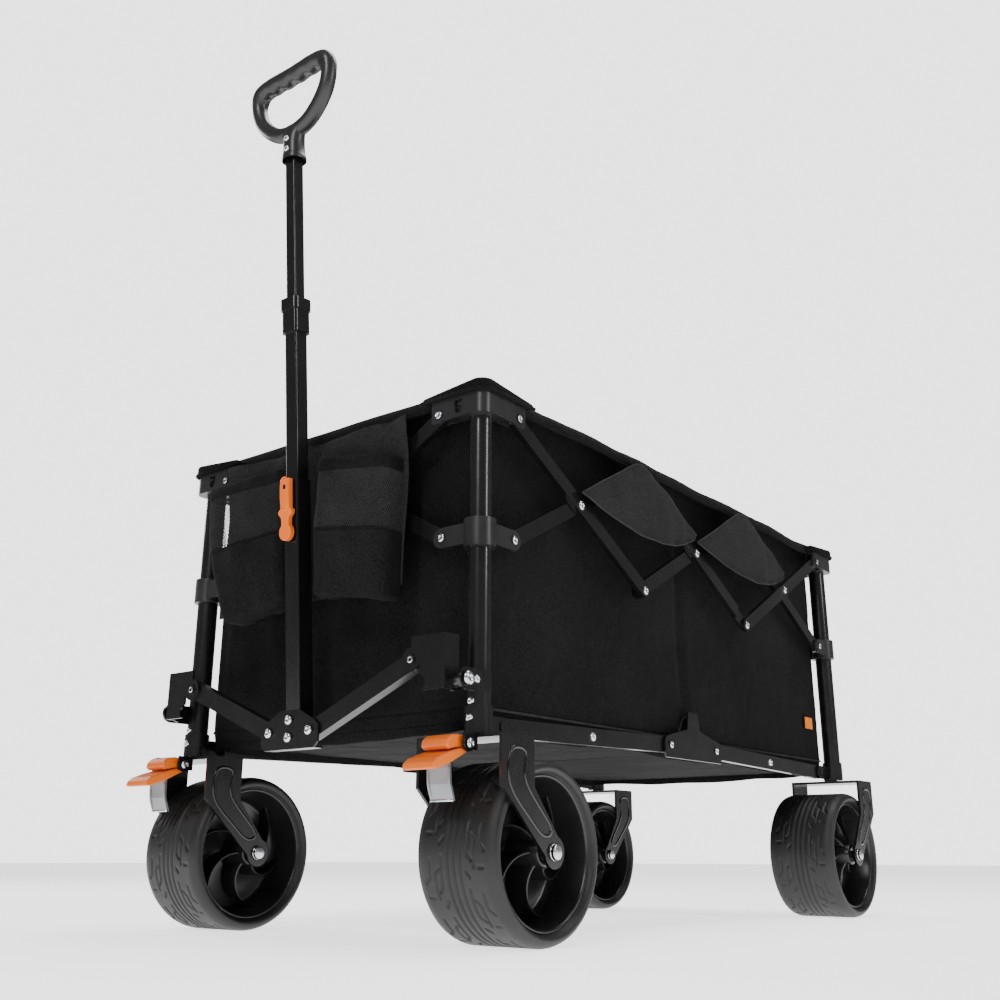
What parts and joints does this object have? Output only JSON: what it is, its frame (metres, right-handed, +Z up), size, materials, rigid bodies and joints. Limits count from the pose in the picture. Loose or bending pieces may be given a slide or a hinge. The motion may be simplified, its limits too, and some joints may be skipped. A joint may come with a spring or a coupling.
{
  "type": "folding camp wagon",
  "caption": "Folding camp wagon: fabric tub in a scissor-bar steel frame that folds both ways, castored front wheels with foot brakes, telescoping pull handle",
  "frame": {"origin": "on the floor, at the centre of the outline of the open wagon", "axes": "+Z up, -Y the front with the pull handle, +X to the right for someone who stands in front of the wagon and looks at it"},
  "size_m": [0.627, 1.1736, 1.1655],
  "materials": {
    "painted_steel": "satin black powder coat",
    "painted_tube": "gloss black paint",
    "black_plastic": "fine grained moulding",
    "orange_plastic": "satin moulding",
    "tyre_rubber": "matt rubber",
    "canvas": "coated polyester canvas"
  },
  "bodies": {
    "corner_fr": {"corner_post_fr": "painted_steel", "corner_cap_fr": "black_plastic", "fabric_basket": "canvas", "front_pockets": "canvas"},
    "corner_fl": {"corner_post_fl": "painted_steel", "corner_cap_fl": "black_plastic"},
    "corner_rr": {"corner_post_rr": "painted_steel", "corner_cap_rr": "black_plastic", "castor_fork_rr": "painted_steel"},
    "corner_rl": {"corner_post_rl": "painted_steel", "corner_cap_rl": "black_plastic", "castor_fork_rl": "painted_steel"},
    "slider_fr": {"slider_fr": "black_plastic"},
    "slider_fl": {"slider_fl": "black_plastic"},
    "slider_rr": {"slider_rr": "black_plastic"},
    "slider_rl": {"slider_rl": "black_plastic"},
    "side_bar_right_1": {"side_bar_right_1": "painted_steel"},
    "side_bar_right_2": {"side_bar_right_2": "painted_steel"},
    "side_bar_right_3": {"side_bar_right_3": "painted_steel"},
    "side_bar_right_4": {"side_bar_right_4": "painted_steel"},
    "side_bar_right_5": {"side_bar_right_5": "painted_steel"},
    "side_bar_right_6": {"side_bar_right_6": "painted_steel"},
    "side_bar_left_1": {"side_bar_left_1": "painted_steel"},
    "side_bar_left_2": {"side_bar_left_2": "painted_steel"},
    "side_bar_left_3": {"side_bar_left_3": "painted_steel"},
    "side_bar_left_4": {"side_bar_left_4": "painted_steel"},
    "side_bar_left_5": {"side_bar_left_5": "painted_steel"},
    "side_bar_left_6": {"side_bar_left_6": "painted_steel"},
    "front_bar_1": {"front_bar_1": "painted_steel"},
    "front_bar_2": {"front_bar_2": "painted_steel"},
    "front_bar_3": {"front_bar_3": "painted_steel"},
    "front_bar_4": {"front_bar_4": "painted_steel"},
    "rear_bar_1": {"rear_bar_1": "painted_steel"},
    "rear_bar_2": {"rear_bar_2": "painted_steel"},
    "rear_bar_3": {"rear_bar_3": "painted_steel"},
    "rear_bar_4": {"rear_bar_4": "painted_steel"},
    "brace_bracket_right": {"brace_bracket_right": "painted_steel"},
    "brace_arm_right": {"brace_arm_right": "painted_steel"},
    "middle_bracket_right": {"middle_bracket_right": "painted_steel"},
    "brace_bracket_left": {"brace_bracket_left": "painted_steel"},
    "brace_arm_left": {"brace_arm_left": "painted_steel"},
    "middle_bracket_left": {"middle_bracket_left": "painted_steel"},
    "handle_base": {"centre_plate": "painted_steel", "handle_lower_tube": "painted_tube"},
    "handle_middle_tube": {"handle_middle_tube": "painted_tube"},
    "handle_top": {"handle_top_tube": "painted_tube", "handle_grip": "black_plastic"},
    "handle_latch": {"handle_latch": "orange_plastic"},
    "castor_fork_fr": {"castor_fork_fr": "painted_steel"},
    "brake_pedal_fr": {"brake_pedal_fr": "orange_plastic"},
    "castor_fork_fl": {"castor_fork_fl": "painted_steel"},
    "brake_pedal_fl": {"brake_pedal_fl": "orange_plastic"},
    "wheel_fr": {"wheel_fr": "tyre_rubber"},
    "side_rail_fr": {"side_rail_fr": "painted_steel"},
    "wheel_fl": {"wheel_fl": "tyre_rubber"},
    "side_rail_fl": {"side_rail_fl": "painted_steel"},
    "wheel_rr": {"wheel_rr": "tyre_rubber"},
    "side_rail_rr": {"side_rail_rr": "painted_steel"},
    "wheel_rl": {"wheel_rl": "tyre_rubber"},
    "side_rail_rl": {"side_rail_rl": "painted_steel"}
  },
  "joints": [
    {"name": "fold", "type": "hinge", "parent": "corner_fr", "child": "side_bar_right_1", "pos_m": [0.263, -0.4082, 0.614], "axis": [-1, 0, 0], "range_deg": [0, 41], "deforming": ["fabric_basket", "front_pockets"]},
    {"name": "right_cross_1", "type": "hinge", "parent": "side_bar_right_1", "child": "side_bar_right_2", "pos_m": [0.263, -0.26826, 0.53643], "axis": [1, 0, 0], "range_deg": [0, 82]},
    {"name": "right_low_1", "type": "hinge", "parent": "side_bar_right_1", "child": "side_bar_right_3", "pos_m": [0.263, -0.11273, 0.45022], "axis": [1, 0, 0], "range_deg": [0, 82]},
    {"name": "right_cross_2", "type": "hinge", "parent": "side_bar_right_3", "child": "side_bar_right_4", "pos_m": [0.263, 0.0428, 0.53643], "axis": [-1, 0, 0], "range_deg": [0, 82]},
    {"name": "right_low_2", "type": "hinge", "parent": "side_bar_right_4", "child": "side_bar_right_5", "pos_m": [0.263, 0.19833, 0.45022], "axis": [1, 0, 0], "range_deg": [0, 82]},
    {"name": "right_cross_3", "type": "hinge", "parent": "side_bar_right_5", "child": "side_bar_right_6", "pos_m": [0.263, 0.35386, 0.53643], "axis": [-1, 0, 0], "range_deg": [0, 82]},
    {"name": "slider_fr_pivot", "type": "hinge", "parent": "side_bar_right_2", "child": "slider_fr", "pos_m": [0.263, -0.4082, 0.45886], "axis": [-1, 0, 0], "range_deg": [0, 41]},
    {"name": "rear_right_cap_pivot", "type": "hinge", "parent": "side_bar_right_5", "child": "corner_rr", "pos_m": [0.263, 0.4938, 0.614], "axis": [-1, 0, 0], "range_deg": [0, 41]},
    {"name": "slider_rr_pivot", "type": "hinge", "parent": "side_bar_right_6", "child": "slider_rr", "pos_m": [0.263, 0.4938, 0.45886], "axis": [1, 0, 0], "range_deg": [0, 41]},
    {"name": "front_cap_pivot", "type": "hinge", "parent": "corner_fr", "child": "front_bar_1", "pos_m": [0.205, -0.4662, 0.614], "axis": [0, -1, 0], "range_deg": [0, 41]},
    {"name": "front_cross_1", "type": "hinge", "parent": "front_bar_1", "child": "front_bar_2", "pos_m": [0.06506, -0.4662, 0.53643], "axis": [0, 1, 0], "range_deg": [0, 82]},
    {"name": "front_low", "type": "hinge", "parent": "front_bar_1", "child": "front_bar_3", "pos_m": [0, -0.4662, 0.50037], "axis": [0, 1, 0], "range_deg": [0, 82]},
    {"name": "front_cross_2", "type": "hinge", "parent": "front_bar_3", "child": "front_bar_4", "pos_m": [-0.06506, -0.4662, 0.53643], "axis": [0, -1, 0], "range_deg": [0, 82]},
    {"name": "front_left_cap_pivot", "type": "hinge", "parent": "front_bar_3", "child": "corner_fl", "pos_m": [-0.205, -0.4662, 0.614], "axis": [0, -1, 0], "range_deg": [0, 41]},
    {"name": "slider_fl_pivot", "type": "hinge", "parent": "front_bar_4", "child": "slider_fl", "pos_m": [-0.205, -0.4662, 0.45886], "axis": [0, 1, 0], "range_deg": [0, 41]},
    {"name": "rear_cap_pivot", "type": "hinge", "parent": "corner_rr", "child": "rear_bar_1", "pos_m": [0.205, 0.5518, 0.614], "axis": [0, -1, 0], "range_deg": [0, 41]},
    {"name": "rear_cross_1", "type": "hinge", "parent": "rear_bar_1", "child": "rear_bar_2", "pos_m": [0.06506, 0.5518, 0.53643], "axis": [0, 1, 0], "range_deg": [0, 82]},
    {"name": "rear_low", "type": "hinge", "parent": "rear_bar_1", "child": "rear_bar_3", "pos_m": [0, 0.5518, 0.50037], "axis": [0, 1, 0], "range_deg": [0, 82]},
    {"name": "rear_cross_2", "type": "hinge", "parent": "rear_bar_3", "child": "rear_bar_4", "pos_m": [-0.06506, 0.5518, 0.53643], "axis": [0, -1, 0], "range_deg": [0, 82]},
    {"name": "rear_left_cap_pivot", "type": "hinge", "parent": "rear_bar_3", "child": "corner_rl", "pos_m": [-0.205, 0.5518, 0.614], "axis": [0, -1, 0], "range_deg": [0, 41]},
    {"name": "slider_rl_pivot", "type": "hinge", "parent": "rear_bar_4", "child": "slider_rl", "pos_m": [-0.205, 0.5518, 0.45886], "axis": [0, 1, 0], "range_deg": [0, 41]},
    {"name": "left_cap_pivot", "type": "hinge", "parent": "corner_fl", "child": "side_bar_left_1", "pos_m": [-0.263, -0.4082, 0.614], "axis": [-1, 0, 0], "range_deg": [0, 41]},
    {"name": "left_cross_1", "type": "hinge", "parent": "side_bar_left_1", "child": "side_bar_left_2", "pos_m": [-0.263, -0.26826, 0.53643], "axis": [1, 0, 0], "range_deg": [0, 82]},
    {"name": "left_low_1", "type": "hinge", "parent": "side_bar_left_1", "child": "side_bar_left_3", "pos_m": [-0.263, -0.11273, 0.45022], "axis": [1, 0, 0], "range_deg": [0, 82]},
    {"name": "left_cross_2", "type": "hinge", "parent": "side_bar_left_3", "child": "side_bar_left_4", "pos_m": [-0.263, 0.0428, 0.53643], "axis": [-1, 0, 0], "range_deg": [0, 82]},
    {"name": "left_low_2", "type": "hinge", "parent": "side_bar_left_4", "child": "side_bar_left_5", "pos_m": [-0.263, 0.19833, 0.45022], "axis": [1, 0, 0], "range_deg": [0, 82]},
    {"name": "left_cross_3", "type": "hinge", "parent": "side_bar_left_5", "child": "side_bar_left_6", "pos_m": [-0.263, 0.35386, 0.53643], "axis": [-1, 0, 0], "range_deg": [0, 82]},
    {"name": "handle_tilt", "type": "hinge", "parent": "corner_fr", "child": "brace_bracket_right", "pos_m": [0.2655, -0.4942, 0.283], "axis": [1, 0, 0], "range_deg": [-4, 60]},
    {"name": "handle_tilt_left", "type": "hinge", "parent": "corner_fl", "child": "brace_bracket_left", "pos_m": [-0.2655, -0.4942, 0.283], "axis": [1, 0, 0], "range_deg": [-4, 60]},
    {"name": "brace_right_top", "type": "hinge", "parent": "brace_bracket_right", "child": "brace_arm_right", "pos_m": [0.199, -0.5017, 0.308], "axis": [0, -1, 0], "range_deg": [0, 54.88]},
    {"name": "brace_right_low", "type": "hinge", "parent": "brace_arm_right", "child": "handle_base", "pos_m": [0.036, -0.5017, 0.24], "axis": [0, 1, 0], "range_deg": [0, 54.88]},
    {"name": "brace_left_top", "type": "hinge", "parent": "brace_bracket_left", "child": "brace_arm_left", "pos_m": [-0.199, -0.5017, 0.308], "axis": [0, 1, 0], "range_deg": [0, 54.88]},
    {"name": "handle_slide_lower", "type": "slide", "parent": "handle_base", "child": "handle_middle_tube", "axis": [0, -0.0872, 0.9962], "range_m": [-0.19, 0]},
    {"name": "handle_slide_upper", "type": "slide", "parent": "handle_middle_tube", "child": "handle_top", "axis": [0, -0.0872, 0.9962], "range_m": [-0.2, 0]},
    {"name": "handle_latch_press", "type": "hinge", "parent": "handle_base", "child": "handle_latch", "pos_m": [0, -0.53504, 0.53858], "axis": [1, 0, 0], "range_deg": [0, 2.5], "stiffness_Nm_per_rad": 0.6},
    {"name": "castor_swivel_fr", "type": "hinge", "parent": "corner_fr", "child": "castor_fork_fr", "pos_m": [0.248, -0.4562, 0.235], "axis": [0, 0, 1], "continuous": true},
    {"name": "wheel_spin_fr", "type": "hinge", "parent": "castor_fork_fr", "child": "wheel_fr", "pos_m": [0.248, -0.3912, 0.1], "axis": [1, 0, 0], "continuous": true},
    {"name": "brake_press_fr", "type": "hinge", "parent": "castor_fork_fr", "child": "brake_pedal_fr", "pos_m": [0.248, -0.4972, 0.212], "axis": [1, 0, 0], "range_deg": [0, 30]},
    {"name": "castor_swivel_fl", "type": "hinge", "parent": "corner_fl", "child": "castor_fork_fl", "pos_m": [-0.248, -0.4562, 0.235], "axis": [0, 0, 1], "continuous": true},
    {"name": "wheel_spin_fl", "type": "hinge", "parent": "castor_fork_fl", "child": "wheel_fl", "pos_m": [-0.248, -0.3912, 0.1], "axis": [1, 0, 0], "continuous": true},
    {"name": "brake_press_fl", "type": "hinge", "parent": "castor_fork_fl", "child": "brake_pedal_fl", "pos_m": [-0.248, -0.4972, 0.212], "axis": [1, 0, 0], "range_deg": [0, 30]},
    {"name": "wheel_spin_rr", "type": "hinge", "parent": "corner_rr", "child": "wheel_rr", "pos_m": [0.248, 0.4868, 0.1], "axis": [1, 0, 0], "continuous": true},
    {"name": "wheel_spin_rl", "type": "hinge", "parent": "corner_rl", "child": "wheel_rl", "pos_m": [-0.248, 0.4868, 0.1], "axis": [1, 0, 0], "continuous": true},
    {"name": "rail_fr_foot", "type": "hinge", "parent": "corner_fr", "child": "side_rail_fr", "pos_m": [0.2425, -0.4092, 0.238], "axis": [1, 0, 0], "range_deg": [0, 72.01]},
    {"name": "rail_rr_foot", "type": "hinge", "parent": "corner_rr", "child": "side_rail_rr", "pos_m": [0.2425, 0.4948, 0.238], "axis": [-1, 0, 0], "range_deg": [0, 72.01]},
    {"name": "middle_bracket_right_pivot", "type": "hinge", "parent": "side_rail_fr", "child": "middle_bracket_right", "pos_m": [0.2425, -0.0242, 0.247], "axis": [-1, 0, 0], "range_deg": [0, 72.01]},
    {"name": "rail_fl_foot", "type": "hinge", "parent": "corner_fl", "child": "side_rail_fl", "pos_m": [-0.2425, -0.4092, 0.238], "axis": [1, 0, 0], "range_deg": [0, 72.01]},
    {"name": "rail_rl_foot", "type": "hinge", "parent": "corner_rl", "child": "side_rail_rl", "pos_m": [-0.2425, 0.4948, 0.238], "axis": [-1, 0, 0], "range_deg": [0, 72.01]},
    {"name": "middle_bracket_left_pivot", "type": "hinge", "parent": "side_rail_fl", "child": "middle_bracket_left", "pos_m": [-0.2425, -0.0242, 0.247], "axis": [-1, 0, 0], "range_deg": [0, 72.01]}
  ],
  "couplings": [
    {"joint": "right_cross_1", "follows": "fold", "ratio": 2},
    {"joint": "right_low_1", "follows": "fold", "ratio": 2},
    {"joint": "right_cross_2", "follows": "fold", "ratio": 2},
    {"joint": "right_low_2", "follows": "fold", "ratio": 2},
    {"joint": "right_cross_3", "follows": "fold", "ratio": 2},
    {"joint": "slider_fr_pivot", "follows": "fold", "ratio": 1},
    {"joint": "rear_right_cap_pivot", "follows": "fold", "ratio": 1},
    {"joint": "slider_rr_pivot", "follows": "fold", "ratio": 1},
    {"joint": "front_cap_pivot", "follows": "fold", "ratio": 1},
    {"joint": "front_cross_1", "follows": "fold", "ratio": 2},
    {"joint": "front_low", "follows": "fold", "ratio": 2},
    {"joint": "front_cross_2", "follows": "fold", "ratio": 2},
    {"joint": "front_left_cap_pivot", "follows": "fold", "ratio": 1},
    {"joint": "slider_fl_pivot", "follows": "fold", "ratio": 1},
    {"joint": "rear_cap_pivot", "follows": "fold", "ratio": 1},
    {"joint": "rear_cross_1", "follows": "fold", "ratio": 2},
    {"joint": "rear_low", "follows": "fold", "ratio": 2},
    {"joint": "rear_cross_2", "follows": "fold", "ratio": 2},
    {"joint": "rear_left_cap_pivot", "follows": "fold", "ratio": 1},
    {"joint": "slider_rl_pivot", "follows": "fold", "ratio": 1},
    {"joint": "left_cap_pivot", "follows": "fold", "ratio": 1},
    {"joint": "left_cross_1", "follows": "fold", "ratio": 2},
    {"joint": "left_low_1", "follows": "fold", "ratio": 2},
    {"joint": "left_cross_2", "follows": "fold", "ratio": 2},
    {"joint": "left_low_2", "follows": "fold", "ratio": 2},
    {"joint": "left_cross_3", "follows": "fold", "ratio": 2},
    {"joint": "handle_tilt_left", "follows": "handle_tilt", "ratio": 1},
    {"joint": "brace_right_top", "follows": "fold", "ratio": 1.3384},
    {"joint": "brace_right_low", "follows": "fold", "ratio": 1.3384},
    {"joint": "brace_left_top", "follows": "fold", "ratio": 1.3384},
    {"joint": "rail_fr_foot", "follows": "fold", "ratio": 1.7563},
    {"joint": "rail_rr_foot", "follows": "fold", "ratio": 1.7563},
    {"joint": "middle_bracket_right_pivot", "follows": "fold", "ratio": 1.7563},
    {"joint": "rail_fl_foot", "follows": "fold", "ratio": 1.7563},
    {"joint": "rail_rl_foot", "follows": "fold", "ratio": 1.7563},
    {"joint": "middle_bracket_left_pivot", "follows": "fold", "ratio": 1.7563}
  ]
}
